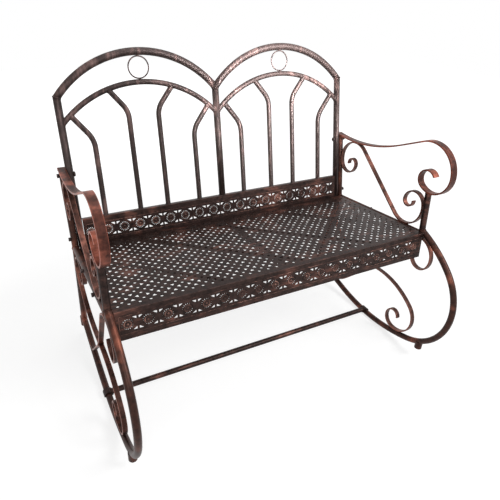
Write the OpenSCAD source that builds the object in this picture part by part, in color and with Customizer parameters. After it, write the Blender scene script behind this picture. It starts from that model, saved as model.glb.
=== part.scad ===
// Two-seat garden rocking bench, welded and bolted from bent steel tube, flat bar and pierced sheet.
// X runs along the bench with plus X to the sitter's left, Y runs from the front to the back, Z is up.
// The origin is on the floor, under the middle of the bench's outline. All sizes are millimetres.

/* [Side frames] */
// Distance from the middle of the bench to the centre plane of a side frame
side_x = 510; // [480:5:540]
// Outside diameter of the tubes in the side frames
side_tube = 20; // [18:1:22]
// Wall thickness of every tube
tube_wall = 1.5; // [1:0.25:2]
// Width of the flat bar of the armrest, along the bench
arm_width = 22; // [18:1:26]
// Width of the flat bar of the scrolls, along the bench
scroll_width = 14; // [10:1:16]
// Thickness of the armrest and scroll bars
bar_thick = 5; // [4:0.5:6]
// Radius of the big turns of the upper side scroll
side_scroll_r = 68; // [60:1:72]
// Radius of the big turns of the long lower scroll
long_scroll_r = 71; // [66:1:74]
// Diameter of the four rocking stops
stop_d = 24.5; // [24:0.5:27]

/* [Backrest] */
// Lean of the backrest from upright, in degrees
lean = 11.4; // [10:0.2:12]
// Outside diameter of the back posts and the top arches
frame_tube = 22; // [20:1:24]
// Outside diameter of the inner arches and the slats
slat_tube = 16; // [13:1:18]
// Radius of the top arches, at the tube's centre
top_arch_r = 320; // [300:5:360]
// Height of the top arches' crowns above the seat plane, along the backrest
top_arch_rise = 506; // [495:1:520]
// Radius of the inner arches, at the tube's centre
inner_arch_r = 333; // [310:5:360]
// Height of the inner arches' crowns above the seat plane, along the backrest
inner_arch_rise = 421; // [410:1:430]
// Thickness of the wire of the two rings
ring_wire = 4; // [3:0.5:6]
// Distance of the inner slats from the middle of their bay
inner_slat = 46.5; // [40:0.5:55]
// Distance of the outer slats from the middle of their bay
outer_slat = 159; // [150:1:165]
// Depth of the folded back panel, front to back
panel_depth = 18; // [16:1:22]

/* [Seat] */
// Thickness of the pierced sheet of the seat, the apron and the back panel
sheet = 2; // [1.5:0.25:3]
// Height of the front apron
apron_height = 84; // [76:1:92]
// Height of the folded lip at the seat's front edge
lip = 12; // [8:1:16]
// Spacing of the flower-shaped groups of holes across the seat
flower_step = 55.5; // [53:0.5:57]
// Length of the base of each three-cornered hole
petal = 13; // [9:0.5:13.5]
// Diameter of the small round holes of the seat
dot = 6; // [4:0.5:7]
// Height of the flat bars of the frame below the seat
rail_height = 20; // [16:1:24]

/* [Base] */
// Outside diameter of the stretcher between the rockers
stretcher_d = 18; // [16:1:20]
// Wall of the saddles that hold the stretcher on the rockers
saddle_wall = 4; // [3:0.5:5]
// Shank diameter of the bolts
bolt_d = 7.6; // [6:0.2:8]

/* [Hidden] */
$fn = 96;

// Clearance between pieces that are welded or bolted together
fit = 0.1;
// Half the hair-fine groove that marks the end of each bend of a tube or bar
nick = 0.1;
// Paint of the steel
paint = "#3b2823";
// Lengths that only need to be longer than the piece that they cut
far = 80;
// Thickness of the caps that close the tubes' open ends
cap = 2;
// Arcs wider than this are drawn with more steps
wide_arc = 150;

// The side frame is drawn in a plane: first number from the seat's front edge to the back, second
// number up from the floor. A pose is [place, place, heading in degrees]. A run is [radius, turn],
// with a turn above 0 to the left, or [0, length] for a straight run.
bow_tip = 22.5;
tail_dir = 15;
rocker_start = [515.7, 82.3, tail_dir + 180];
rocker_runs = [[0, 196], [635, -33.3], [195, -117], [400, -bow_tip]];
// Centre of the rolling arc, straight above the point that stands on the floor
roll_centre = [162, 645];
roll_r = 635;
arm_start = [491.9, 642.5, 187.24];
arm_runs = [[602, -30.74], [0, 99], [91, 110], [64, 130], [30, 203]];
// Centres of the armrest's long rear arc and of its big front turn
arm_rear_c = turn_centre(arm_start, arm_runs[0]);
arm_front_c = turn_centre(pose_after(arm_start, arm_runs, 3), arm_runs[3]);
// The post below the armrest: foot and direction
post_foot = [15.2, 429.5];
post_dir = 84.64;
post_long = 155;
// Seat plane: height at its front edge and fall towards the back in degrees
seat_z = 451.3;
fall = 5.04;
rail_c = [0, seat_z - side_tube / 2 / cos(fall)];
rail_dir = -fall;
rail_long = 424;
// Backrest plane: the place where its centre line has the height of the seat's front edge
back_y = 444.2;
// Rear leg: bend below the seat, then straight down and back to the rocker's tail
leg_bend_r = 60;
leg_top_dir = 90 - lean;
leg_low_dir = 101.66;
leg_bend = back_point(-45.2);
leg_foot = [503, 79];
leg_tangent = leg_bend_r * tan((leg_low_dir - leg_top_dir) / 2);
leg_upper = 245;
leg_runs = [[0, norm(leg_foot - leg_bend) - leg_tangent], [leg_bend_r, leg_top_dir - leg_low_dir],
  [0, leg_upper]];
leg_start = [leg_foot[0], leg_foot[1], leg_low_dir];

// Scroll bars sit a little outside the tubes' centre plane
scroll_x = side_x + 2;
skin = side_tube / 2 + bar_thick / 2 + fit;
// Upper side scroll: each big turn touches two neighbours, so its centre is where two lines or a
// line and an arc, set off by that distance, cross
s_rear = line_circle(leg_bend, leg_top_dir, side_scroll_r + skin,
  arm_rear_c, arm_runs[0][0] + bar_thick + side_scroll_r + fit);
s_front = line_line(post_foot, post_dir, -(side_scroll_r + skin), rail_c, rail_dir, side_scroll_r + skin);
s_mid = (s_rear + s_front) / 2;
s_half = norm(s_rear - s_mid);
s_dir = atan2(s_rear[1] - s_mid[1], s_rear[0] - s_mid[0]) + asin(side_scroll_r / s_half);
s_straight = sqrt(s_half * s_half - side_scroll_r * side_scroll_r);
s_curls = [[side_scroll_r, -112.3 - s_dir], [39, -153.5], [18.7, -199]];

// Long lower scroll: its rear turn touches the seat rail and the leg, its front turn the rocker
l_y = 34;
l_bow_r = 253.5;
l_dir = 175.3;
l_gap = roll_r - skin - long_scroll_r;
l_front = [l_y, roll_centre[1] - sqrt(l_gap * l_gap - pow(roll_centre[0] - l_y, 2))];
l_rear = line_line(rail_c, rail_dir, -(long_scroll_r + skin), leg_foot, leg_low_dir, long_scroll_r + skin);
l_mid = (l_front + l_rear) / 2;
// Straight length on each side of the middle, before the wide arc that runs into the big turn
l_to = l_front - l_mid - l_bow_r * [cos(l_dir + 90), sin(l_dir + 90)];
l_along = l_to * [cos(l_dir), sin(l_dir)];
l_straight = l_along - sqrt(l_along * l_along - l_to * l_to + pow(l_bow_r - long_scroll_r, 2));
l_hub = l_mid + l_straight * [cos(l_dir), sin(l_dir)]
  + l_bow_r * [cos(l_dir + 90), sin(l_dir + 90)];
l_wide = atan2(l_front[1] - l_hub[1], l_front[0] - l_hub[0]) + 450 - l_dir;
l_turn = l_wide > 360 ? l_wide - 360 : l_wide;
l_curls = [[l_bow_r, l_turn], [long_scroll_r, 149.2], [37.8, 132.2], [22.4, 129]];

// Bow scroll: it hangs from the seat rail, curls up at the front and runs down to the long scroll
b_y = 24;
b_front_runs = [[60, 124.8], [36.2, 110], [30, 45]];
b_rear_r = 85;
b_top = [b_y, rail_c[1] - b_y * tan(fall)] - skin * [sin(fall), cos(fall)];
b_hub = b_top - b_rear_r * [sin(fall), cos(fall)];
// Where the two lower braces meet the long scroll
cross_along = 19;
cross_at = l_mid + cross_along * [cos(l_dir), sin(l_dir)];
b_reach = norm(cross_at - b_hub);
b_dir = atan2(cross_at[1] - b_hub[1], cross_at[0] - b_hub[0]) - asin(b_rear_r / b_reach);
b_runs = concat(backwards(b_front_runs),
  [[b_rear_r, b_dir + fall], [0, sqrt(b_reach * b_reach - b_rear_r * b_rear_r)]]);
b_tip = pose_after([b_top[0], b_top[1], 180 - fall], b_front_runs, 3);

// Tail brace: straight from the crossing, then a turn that lies down on the rocker's tail
t_dir = -44;
t_turn_r = 75;
t_turn = tail_dir - t_dir;
t_tangent = t_turn_r * tan(t_turn / 2);
t_corner = line_line(cross_at, t_dir, 0, [rocker_start[0], rocker_start[1]], tail_dir, skin);
t_runs = [[0, norm(t_corner - cross_at) - t_tangent], [t_turn_r, t_turn], [0, 6]];

// Backrest, measured in its own plane: first number along the bench, second up along the backrest
bay_x = side_x - side_tube / 2 - frame_tube / 2 - 2 * fit;
post_x = bay_x;
bay_mid = bay_x / 2;
panel_low = -48;
panel_top = 38;
top_arch_c = top_arch_rise - top_arch_r;
inner_arch_c = inner_arch_rise - inner_arch_r;
top_half = asin(bay_mid / top_arch_r);
arch_spare = 4;
post_top = top_arch_c + top_arch_r * cos(top_half);
ring_gap = (top_arch_rise - frame_tube / 2) - (inner_arch_rise + slat_tube / 2);
ring_r = ring_gap / 2 - fit;
// Slats: straight height, bend radius and bend angle of the inner and the outer ones
inner_slat_bend = [318, 65, 39.5];
outer_slat_bend = [243, 75, 38];
slat_at = [-outer_slat, -inner_slat, inner_slat, outer_slat];
// Holes of the bolts between the posts and the rear legs, measured along the backrest
back_bolt_at = [-20, 176];
bolt_hole = bolt_d + 0.8;
head_d = 15;
head_high = 4.5;
nut_high = 6;
sink = 0.5;

// Pierced strips: the spacing of their rosettes, the first one's place and their number
strip_step = 52;
panel_first = -453.4;
panel_cells = 18;
panel_row = -6.5;
panel_corner_rise = 15.5;
apron_first = -469.5;
apron_cells = 19;
apron_corner_rise = 18;
rosette_r = 13.5;
slits = 16;
slit = [2, 4.5];
corner_hole = [11, 7];
corner_x = 8.4;

// Seat, measured in its own plane: length to the back panel, side folds and hole pattern
seat_half = side_x - side_tube / 2 - 3 * fit;
seat_long = seat_reach(sheet);
fold_deep = 18;
fold_from = 24;
// The sheet's rear corners are notched around the back posts
notch = frame_tube / 2 + 2 * fit;
notch_deep = 6;
return_deep = 18;
rail_thick = 5;
rear_rail_face = seat_reach(sheet + rail_height) - rail_thick - 1;
front_rail_back = 2 * sheet + 3 * fit + rail_thick;
frame_half = seat_half - sheet - fit;
rib_thick = 4;
flower_rise = 54.2;
flower_first = 52.5;
flower_columns = 17;
flower_rows = 7;
strap = [12, 3];
strap_step = 245;
strap_shift = -14;
seat_bolt_at = [125, 270];

// Stretcher and stops
stretcher_y = 189;
stretcher_z = 14.6;
saddle_long = 24;
saddle_r = side_tube / 2 + saddle_wall;
saddle_low = roll_centre[1] - sqrt(roll_r * roll_r - pow(stretcher_y - roll_centre[0], 2));
saddle_drop = 2;
stretcher_end = 8;
front_stop_y = -88;
front_stop_z = [36, 66];
rear_stop_y = 515;
rear_stop_z = [40, 80];
dome_r = 22;

// The outline's front is the rocker's bow, its back the top arches' crowns
bow_front = turn_centre(pose_after(rocker_start, rocker_runs, 2), rocker_runs[2])[0]
  - rocker_runs[2][0] - side_tube / 2;
back_rear = back_y + top_arch_rise * sin(lean) + frame_tube / 2;
mid_y = (bow_front + back_rear) / 2;
floor_shift = side_tube / 2 - (roll_centre[1] - roll_r);

// Centre of a curved run that starts at a pose
function turn_centre(p, s) = let(a = p[2] + (s[1] > 0 ? 90 : -90)) [p[0] + s[0] * cos(a), p[1] + s[0] * sin(a)];

// The pose at the end of one run
function step_pose(p, s) = s[0] == 0
  ? [p[0] + s[1] * cos(p[2]), p[1] + s[1] * sin(p[2]), p[2]]
  : let(c = turn_centre(p, s), a = p[2] + s[1] - (s[1] > 0 ? 90 : -90))
    [c[0] + s[0] * cos(a), c[1] + s[0] * sin(a), p[2] + s[1]];

// The pose after the first k runs
function pose_after(p, runs, k) = k == 0 ? p : step_pose(pose_after(p, runs, k - 1), runs[k - 1]);

// The same runs, followed from their end to their start
function backwards(runs) = [for (i = [len(runs) - 1:-1:0])
  runs[i][0] == 0 ? runs[i] : [runs[i][0], -runs[i][1]]];

// The opposite heading
function about_turn(p) = [p[0], p[1], p[2] + 180];

// Crossing of two lines, each through a point in a direction and moved to its left by a distance
function line_line(p, a, m, q, b, n) = let(
  u = p + m * [-sin(a), cos(a)],
  v = q + n * [-sin(b), cos(b)] - u,
  k = (v[0] * sin(b) - v[1] * cos(b)) / sin(b - a)) u + k * [cos(a), sin(a)];

// Crossing of a line, moved to its left by a distance, with the lower part of a circle
function line_circle(p, a, m, c, r) = let(
  u = p + m * [-sin(a), cos(a)] - c,
  d = u * [cos(a), sin(a)],
  k = -d - sqrt(d * d - u * u + r * r)) c + u + k * [cos(a), sin(a)];

// A place on the backrest's centre plane, as the side frame's two numbers
function back_point(t) = [back_y + t * sin(lean), seat_z + t * cos(lean)];

// How far back a sheet of the seat reaches before it meets the back panel, at a depth below the top
function seat_reach(deep) = (back_y * cos(lean) - panel_depth / 2 - fit - deep * sin(lean - fall))
  / cos(lean - fall);

// Length of a straight run from a pose to a circle's far side
function run_to_circle(p, c, r) = let(
  u = [p[0] - c[0], p[1] - c[1]],
  d = u * [cos(p[2]), sin(p[2])]) -d + sqrt(d * d - u * u + r * r);

// Places the whole bench with its origin under the middle of its outline
module bench() translate([0, -mid_y, floor_shift]) children();

// Mirrors a piece to the side s: 1 for plus X, -1 for minus X
module on_side(s) mirror([s < 0 ? 1 : 0, 0, 0]) children();

// Turns a drawing of the side frame upright, at a distance from the middle of the bench
module side_plane(x) translate([x, 0, 0]) rotate([90, 0, 90]) children();

// The backrest's own axes: X along the bench, Y square to the backrest, Z up along it
module back_plane() translate([0, back_y, seat_z]) rotate([-lean, 0, 0]) children();

// The seat's own axes: origin in the middle of the front edge, Y back along the seat, Z square to it
module seat_plane() translate([0, 0, seat_z]) rotate([-fall, 0, 0]) children();

// One run of a tube or bar, kept back at each end by a and b
module one_run(p, s, a, b) {
  if (s[0] == 0)
    translate([p[0], p[1], 0])
      rotate([0, 0, p[2]])
        translate([a, 0, 0]) rotate([90, 0, 90]) linear_extrude(s[1] - a - b) children();
  else {
    c = turn_centre(p, s);
    from = a / s[0] * 180 / PI;
    to = b / s[0] * 180 / PI;
    translate([c[0], c[1], 0])
      rotate([0, 0, s[1] > 0 ? p[2] - 90 + from : p[2] + 90 + s[1] + to])
        rotate_extrude(angle = abs(s[1]) - from - to, $fn = s[0] > wide_arc ? 720 : $fn)
          translate([s[0], 0]) children();
  }
}

// A tube or bar that follows its runs. The second child is the section at the joints of the runs
module bent(p, runs) {
  last = len(runs) - 1;
  union() {
    for (k = [0:last])
      one_run(pose_after(p, runs, k), runs[k], k == 0 ? 0 : nick, k == last ? 0 : nick) children(0);
    if (last > 0)
      for (k = [1:last]) {
        q = pose_after(p, runs, k);
        translate([q[0], q[1], 0])
          rotate([0, 0, q[2]]) rotate([90, 0, 90]) linear_extrude(4 * nick, center = true) children(1);
      }
  }
}

module ring_section(d, wall) difference() {
  circle(d = d);
  circle(d = d - 2 * wall);
}

// Hollow tube along its runs
module bent_tube(p, runs, d) bent(p, runs) {
  ring_section(d, tube_wall);
  ring_section(d - nick, tube_wall - nick);
}

// The same tube without its bore and grown by the fit, to cut its neighbours' ends to shape
module tube_cutter(p, runs, d) bent(p, runs) {
  circle(d = d + 2 * fit);
  circle(d = d + 2 * fit - nick);
}

// Flat bar along its runs
module bent_bar(p, runs, width) bent(p, runs) {
  square([bar_thick, width], center = true);
  square([bar_thick - nick, width - nick], center = true);
}

// Straight round bar or hole in the side frame's plane
module straight(p, a, long, d) translate([p[0], p[1], 0]) rotate([0, 0, a]) rotate([0, 90, 0])
  cylinder(d = d, h = long);

// Straight round hole across the side frame, at a place in its plane
module cross_hole(p, d) translate([p[0], p[1], -far / 2]) cylinder(d = d, h = far);

module post_cutter() straight(post_foot, post_dir, 3 * far, side_tube + 2 * fit);

module rocker(s) color(paint) bench() on_side(s) side_plane(side_x) difference() {
  union() {
    bent_tube(rocker_start, rocker_runs, side_tube);
    straight([rocker_start[0], rocker_start[1]], rocker_start[2], cap, side_tube - tube_wall);
  }
  post_cutter();
}

module rear_leg(s) color(paint) bench() on_side(s) side_plane(side_x) difference() {
  bent_tube(leg_start, leg_runs, side_tube);
  straight([rocker_start[0], rocker_start[1]], rocker_start[2], far, side_tube + 2 * fit);
  translate([arm_rear_c[0], arm_rear_c[1], -far / 2])
    cylinder(r = arm_runs[0][0] + bar_thick / 2 + fit, h = far, $fn = 720);
  for (t = back_bolt_at) cross_hole(back_point(t), bolt_hole);
}

module arm_post(s) color(paint) bench() on_side(s) side_plane(side_x) difference() {
  straight(post_foot, post_dir, post_long, side_tube);
  straight(post_foot + cap * [cos(post_dir), sin(post_dir)], post_dir, post_long, side_tube - 2 * tube_wall);
  translate([arm_front_c[0], arm_front_c[1], -far / 2])
    cylinder(r = arm_runs[3][0] + bar_thick / 2 + fit, h = far, $fn = 360);
}

module seat_side_rail(s) color(paint) bench() on_side(s) side_plane(side_x) difference() {
  one_run([post_foot[0], rail_c[1] - post_foot[0] * tan(fall), rail_dir], [0, rail_long], 0, 0)
    ring_section(side_tube, tube_wall);
  post_cutter();
  tube_cutter(leg_start, leg_runs, side_tube);
  for (y = seat_bolt_at) cross_hole([y * cos(fall), rail_c[1] - y * sin(fall)], bolt_hole);
}

module armrest(s) color(paint) bench() on_side(s) side_plane(side_x)
  bent_bar(arm_start, arm_runs, arm_width);

module side_scroll(s) color(paint) bench() on_side(s) side_plane(scroll_x)
  bent_bar(about_turn(pose_after([s_mid[0], s_mid[1], s_dir + 180], concat([[0, s_straight]], s_curls), 4)),
    concat(backwards(s_curls), [[0, 2 * s_straight]], s_curls), scroll_width);

module long_bar(width, thick) {
  start = about_turn(pose_after([l_mid[0], l_mid[1], l_dir + 180], concat([[0, l_straight]], l_curls), 5));
  bent(start, concat(backwards(l_curls), [[0, 2 * l_straight]], l_curls)) {
    square([thick, width], center = true);
    square([thick - nick, width - nick], center = true);
  }
}

module long_scroll(s) color(paint) bench() on_side(s) side_plane(scroll_x)
  long_bar(scroll_width, bar_thick);

// A block that stands in for the long scroll where the two braces meet it
module long_cutter() translate([cross_at[0], cross_at[1], 0]) rotate([0, 0, l_dir])
  cube([far, bar_thick + 2 * fit, far], center = true);

module bow_scroll(s) color(paint) bench() on_side(s) side_plane(scroll_x) difference() {
  bent_bar(about_turn(b_tip), b_runs, scroll_width);
  long_cutter();
}

module tail_brace(s) color(paint) bench() on_side(s) side_plane(scroll_x) difference() {
  bent_bar([cross_at[0], cross_at[1], t_dir], t_runs, scroll_width);
  long_cutter();
}

// A round stop with a domed foot that hangs from a tube at a place
module stop(y, low, high) translate([0, y, 0]) intersection() {
  translate([0, 0, low]) cylinder(d = stop_d, h = high - low);
  translate([0, 0, low + dome_r]) {
    sphere(r = dome_r);
    cylinder(r = dome_r, h = far);
  }
}

module front_stop(s) color(paint) bench() on_side(s) difference() {
  translate([side_x, 0, 0]) stop(front_stop_y, front_stop_z[0], front_stop_z[1]);
  side_plane(side_x) one_run(pose_after(rocker_start, rocker_runs, 2), rocker_runs[2], 0, 0)
    circle(d = side_tube + 2 * fit);
}

module rear_stop(s) color(paint) bench() on_side(s) difference() {
  translate([side_x, 0, 0]) stop(rear_stop_y, rear_stop_z[0], rear_stop_z[1]);
  side_plane(side_x) straight([rocker_start[0] + far, rocker_start[1] + far * tan(tail_dir)], tail_dir + 180, 3 * far,
    side_tube + 2 * fit);
}

// Backrest: the runs are drawn in its plane, with the first number along the bench
module in_back() bench() back_plane() rotate([90, 0, 0]) children();

// The half-plane beyond a mitre, from a point on, square to a heading
module mitre_cutter(p, a) translate([p[0], p[1], 0]) rotate([0, 0, a])
  translate([0, -far / 2, -far / 2]) cube([far, far, far]);

module outer_post(s) color(paint) in_back() on_side(s) difference() {
  union() {
    one_run([post_x, panel_low, 90], [0, post_top + frame_tube - panel_low], 0, 0)
      ring_section(frame_tube, tube_wall);
    straight([post_x, panel_low], 90, cap, frame_tube - tube_wall);
  }
  mitre_cutter([post_x, post_top - fit], 90 - (90 - top_half) / 2);
  for (t = back_bolt_at) translate([post_x, t, 0]) rotate([0, 90, 0])
    cylinder(d = bolt_hole, h = far, center = true);
}

module arch_cutter(x, c, r, d) translate([x, c, 0]) rotate_extrude() translate([r, 0]) circle(d = d);

module back_post_centre() color(paint) in_back() difference() {
  one_run([0, panel_top + fit, 90], [0, post_top - panel_top], 0, 0) ring_section(frame_tube, tube_wall);
  for (x = [-bay_mid, bay_mid]) arch_cutter(x, top_arch_c, top_arch_r, frame_tube + 2 * fit);
}

module top_arch(s) color(paint) in_back() on_side(s) difference() {
  half = top_half + arch_spare;
  one_run([bay_mid - top_arch_r * sin(half), top_arch_c + top_arch_r * cos(half), half],
    [top_arch_r, -2 * half], 0, 0) ring_section(frame_tube, tube_wall);
  mitre_cutter([fit / 2, post_top], 180);
  mitre_cutter([post_x, post_top], 90 - (90 - top_half) / 2 - 90);
}

module inner_arch(s) color(paint) in_back() on_side(s) difference() {
  half = asin(bay_mid / inner_arch_r);
  one_run([0, inner_arch_c + inner_arch_r * cos(half), half], [inner_arch_r, -2 * half], 0, 0)
    ring_section(slat_tube, tube_wall);
  for (x = [0, post_x]) straight([x, panel_top], 90, 6 * far, frame_tube + 2 * fit);
}

module arch_ring(s) color(paint) in_back() on_side(s)
  translate([bay_mid, inner_arch_rise + slat_tube / 2 + ring_gap / 2, 0])
    rotate_extrude() translate([ring_r - ring_wire / 2, 0]) circle(d = ring_wire);

// One slat: straight up from the panel, then leaning away from the middle of its bay to the arch
module slat(bay, k) {
  x = slat_at[k];
  b = abs(x) == inner_slat ? inner_slat_bend : outer_slat_bend;
  way = x > 0 ? -1 : 1;
  start = [x, panel_top + fit, 90];
  runs = [[0, b[0] - panel_top - fit], [b[1], way * b[2]]];
  bend_end = pose_after(start, runs, 2);
  reach = run_to_circle(bend_end, [0, inner_arch_c], inner_arch_r);
  color(paint) in_back() translate([bay * bay_mid, 0, 0]) difference() {
    bent_tube(start, concat(runs, [[0, reach]]), slat_tube);
    arch_cutter(0, inner_arch_c, inner_arch_r, slat_tube + 2 * fit);
  }
}

// Pierced strips: one rosette of narrow slits with three-cornered holes between the rosettes
module rosette() for (k = [0:slits - 1]) rotate(360 * k / slits) translate([rosette_r, 0])
  square([slit[1], slit[0]], center = true);

module corner_holes(rise) for (mx = [0, 1], my = [0, 1]) mirror([mx, 0]) mirror([0, my])
  translate([corner_x, rise]) polygon([[-corner_hole[0] / 2, -corner_hole[1] / 2],
    [corner_hole[0] / 2, -corner_hole[1] / 2 + 2], [-corner_hole[0] / 2 + 2, corner_hole[1] / 2]]);

module strip_holes(first, cells, rise) for (k = [0:cells - 1]) translate([first + k * strip_step, 0]) {
  rosette();
  if (k < cells - 1) translate([strip_step / 2, 0]) corner_holes(rise);
}

module back_panel() color(paint) bench() back_plane() {
  wide = 2 * (post_x - frame_tube / 2 - fit);
  rotate([90, 0, 0]) translate([0, 0, panel_depth / 2 - sheet]) linear_extrude(sheet) difference() {
    translate([-wide / 2, panel_low]) square([wide, panel_top - panel_low]);
    translate([0, panel_row]) strip_holes(panel_first, panel_cells, panel_corner_rise);
  }
  for (t = [panel_low, panel_top - sheet])
    translate([-wide / 2, -panel_depth / 2, t]) cube([wide, panel_depth, sheet]);
}

// Seat pattern: four three-cornered holes around a solid middle, and a small round hole to each
module petal_hole(a) rotate(a) translate([0, flower_step / 4])
  polygon([[-petal / 2, petal / 3], [petal / 2, petal / 3], [0, -petal / 3]]);

module flower() {
  for (a = [0, 90, 180, 270]) petal_hole(a);
  for (x = [-1, 1]) translate([x * flower_step / 4, flower_rise / 2]) circle(d = dot);
  for (y = [-1, 1]) translate([flower_step / 2, y * flower_rise / 4]) circle(d = dot);
}

module seat_fold(s) difference() {
  seat_plane() on_side(s)
    translate([seat_half - sheet, fold_from, -fold_deep])
      cube([sheet, seat_long - notch_deep - fold_from, fold_deep]);
  for (y = seat_bolt_at) on_side(s) side_plane(seat_half)
    cross_hole([y * cos(fall), rail_c[1] - y * sin(fall)], bolt_hole);
}

module seat_sheet() color(paint) bench() {
  seat_plane() {
    translate([0, 0, -sheet]) linear_extrude(sheet) difference() {
      translate([-seat_half, 0]) square([2 * seat_half, seat_long]);
      for (i = [0:flower_columns - 1], j = [0:flower_rows - 1])
        translate([(i - (flower_columns - 1) / 2) * flower_step, flower_first + j * flower_rise]) flower();
      for (s = [-1, 1]) mirror([s < 0 ? 1 : 0, 0]) translate([post_x - notch, seat_long - notch_deep])
        square([far, far]);
    }
    translate([-seat_half, 0, -lip]) cube([2 * seat_half, sheet, lip]);
  }
  for (s = [-1, 1]) seat_fold(s);
}

module front_apron() color(paint) bench() seat_plane() {
  top = sheet + fit;
  translate([0, top, 0]) {
    rotate([90, 0, 0]) translate([0, 0, -sheet]) linear_extrude(sheet) difference() {
      translate([-seat_half, -apron_height]) square([2 * seat_half, apron_height - top]);
      translate([0, -apron_height / 2]) strip_holes(apron_first, apron_cells, apron_corner_rise);
    }
    for (s = [-1, 1]) on_side(s)
      translate([seat_half - sheet, 0, -apron_height]) cube([sheet, return_deep, apron_height - top]);
  }
}

module seat_front_rail() color(paint) bench() seat_plane()
  translate([-frame_half, 2 * sheet + 2 * fit, -sheet - fit - rail_height])
    cube([2 * frame_half, rail_thick, rail_height]);

module seat_rear_rail() color(paint) bench() difference() {
  seat_plane() translate([-frame_half, rear_rail_face, -sheet - fit - rail_height])
    cube([2 * frame_half, rail_thick, rail_height]);
  for (s = [-1, 1]) on_side(s)
    back_plane() translate([post_x, 0, -far]) cylinder(d = frame_tube + 2 * fit, h = 2 * far);
}

module seat_centre_rib() color(paint) bench() seat_plane()
  translate([-rib_thick / 2, front_rail_back, -sheet - fit - rail_height])
    cube([rib_thick, rear_rail_face - fit - front_rail_back, rail_height - strap[1] - fit]);

module seat_straps() color(paint) bench() seat_plane()
  translate([0, 0, -sheet - fit - strap[1]]) linear_extrude(strap[1]) for (k = [0:3]) intersection() {
    translate([(k - 1.5) * strap_step + strap_shift, seat_long / 2]) rotate(-45)
      square([8 * far, strap[0]], center = true);
    translate([-frame_half, front_rail_back]) square([2 * frame_half, rear_rail_face - fit - front_rail_back]);
  }

// Base: the stretcher ends against saddles that wrap the tops of the rockers
module saddle_body(d) translate([side_x, stretcher_y, saddle_low]) rotate([90, 0, 0])
  cylinder(d = d, h = saddle_long, center = true);

module stretcher() color(paint) bench() difference() {
  translate([-side_x, stretcher_y, stretcher_z]) rotate([0, 90, 0])
    linear_extrude(2 * side_x) ring_section(stretcher_d, tube_wall);
  for (s = [-1, 1]) on_side(s) {
    saddle_body(2 * saddle_r + 2 * fit);
    translate([side_x - stretcher_end, stretcher_y - far / 2, -far / 2]) cube(far);
  }
}

module stretcher_saddle(s) color(paint) bench() on_side(s) difference() {
  saddle_body(2 * saddle_r);
  side_plane(side_x) one_run(pose_after(rocker_start, rocker_runs, 1), rocker_runs[1], 0, 0)
    circle(d = side_tube + 2 * fit);
  translate([side_x - far / 2, stretcher_y - far / 2, saddle_low - saddle_drop - far]) cube(far);
}

// A bolt along X from x on outwards: domed head, shank and a cap nut, at a place in the side frame
module bolt(x, long, p) translate([x, p[0], p[1]]) rotate([0, 90, 0]) {
  translate([0, 0, -head_high]) intersection() {
    cylinder(d = head_d, h = head_high);
    translate([0, 0, head_d / 2]) sphere(d = head_d * 1.25);
  }
  translate([0, 0, -sink]) cylinder(d = bolt_d, h = long + 2 * sink);
  translate([0, 0, long]) cylinder(d = head_d - 2, h = nut_high, $fn = 6);
}

module back_bolts() color(paint) bench() for (s = [-1, 1], t = back_bolt_at) on_side(s)
  bolt(post_x - frame_tube / 2 - fit, frame_tube + side_tube + 4 * fit, back_point(t));

module seat_bolts() color(paint) bench() for (s = [-1, 1], y = seat_bolt_at) on_side(s)
  bolt(seat_half - sheet - fit, sheet + side_tube + 5 * fit,
    [y * cos(fall), rail_c[1] - y * sin(fall)]);

rocker(-1);  // rocker_left
rocker(1);  // rocker_right
rear_leg(-1);  // rear_leg_left
rear_leg(1);  // rear_leg_right
arm_post(-1);  // arm_post_left
arm_post(1);  // arm_post_right
seat_side_rail(-1);  // seat_side_rail_left
seat_side_rail(1);  // seat_side_rail_right
armrest(-1);  // armrest_left
armrest(1);  // armrest_right
side_scroll(-1);  // side_scroll_left
side_scroll(1);  // side_scroll_right
long_scroll(-1);  // long_scroll_left
long_scroll(1);  // long_scroll_right
bow_scroll(-1);  // bow_scroll_left
bow_scroll(1);  // bow_scroll_right
tail_brace(-1);  // tail_brace_left
tail_brace(1);  // tail_brace_right
front_stop(-1);  // front_stop_left
front_stop(1);  // front_stop_right
rear_stop(-1);  // rear_stop_left
rear_stop(1);  // rear_stop_right
outer_post(-1);  // back_post_left
back_post_centre();
outer_post(1);  // back_post_right
top_arch(-1);  // top_arch_left
top_arch(1);  // top_arch_right
inner_arch(-1);  // inner_arch_left
inner_arch(1);  // inner_arch_right
arch_ring(-1);  // arch_ring_left
arch_ring(1);  // arch_ring_right
slat(-1, 0);  // slat_1
slat(-1, 1);  // slat_2
slat(-1, 2);  // slat_3
slat(-1, 3);  // slat_4
slat(1, 0);  // slat_5
slat(1, 1);  // slat_6
slat(1, 2);  // slat_7
slat(1, 3);  // slat_8
back_panel();
seat_sheet();
front_apron();
seat_front_rail();
seat_rear_rail();
seat_centre_rib();
seat_straps();
stretcher();
stretcher_saddle(-1);  // stretcher_saddle_left
stretcher_saddle(1);  // stretcher_saddle_right
back_bolts();
seat_bolts();
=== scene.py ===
# %% [markdown]
# # A two-seat garden rocking bench
# The bench is bent steel tube and flat bar with three pieces of pierced sheet. Its solids are already
# made and packed, so this lesson adds what they lack: the exact holes and the round bends of the
# pierced sheets, clean mitres at the top of the back, the pressed trim, the weld beads, the brushed
# copper paint, and a studio. Lengths are in metres. X runs along the bench, Y from its front to its
# back, and Z is up.

import math

import bmesh
import bpy
import numpy as np
from mathutils import Matrix, Vector
from mathutils.bvhtree import BVHTree


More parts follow.
